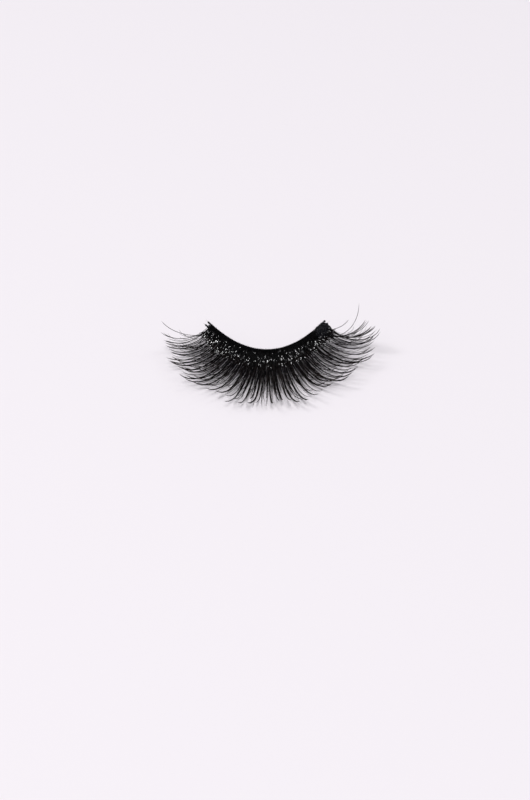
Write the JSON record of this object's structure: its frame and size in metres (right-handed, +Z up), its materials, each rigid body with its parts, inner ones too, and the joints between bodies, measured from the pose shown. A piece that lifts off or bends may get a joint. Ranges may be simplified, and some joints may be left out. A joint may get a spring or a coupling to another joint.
{
  "type": "false eyelash strip",
  "caption": "Curved band with an upper row of long, upswept black lash spikes and a lower row of short ones, worn along the upper eyelid.",
  "frame": {"origin": "centre of the strip's box, on the surface that it rests on", "axes": "+X along the band's chord, from the inner corner of the eye to the outer one; -Y out towards the lash tips; +Z up, away from the surface"},
  "size_m": [0.0438, 0.0244, 0.0055],
  "materials": {
    "band": "black cotton thread set in dried clear glue, satin",
    "lash_fibre": "fine black synthetic fibre, glossy at the knots and silkier towards the tips"
  },
  "bodies": {
    "root": {"band": "band", "upper_lashes": "lash_fibre", "lower_lashes": "lash_fibre"}
  },
  "joints": []
}
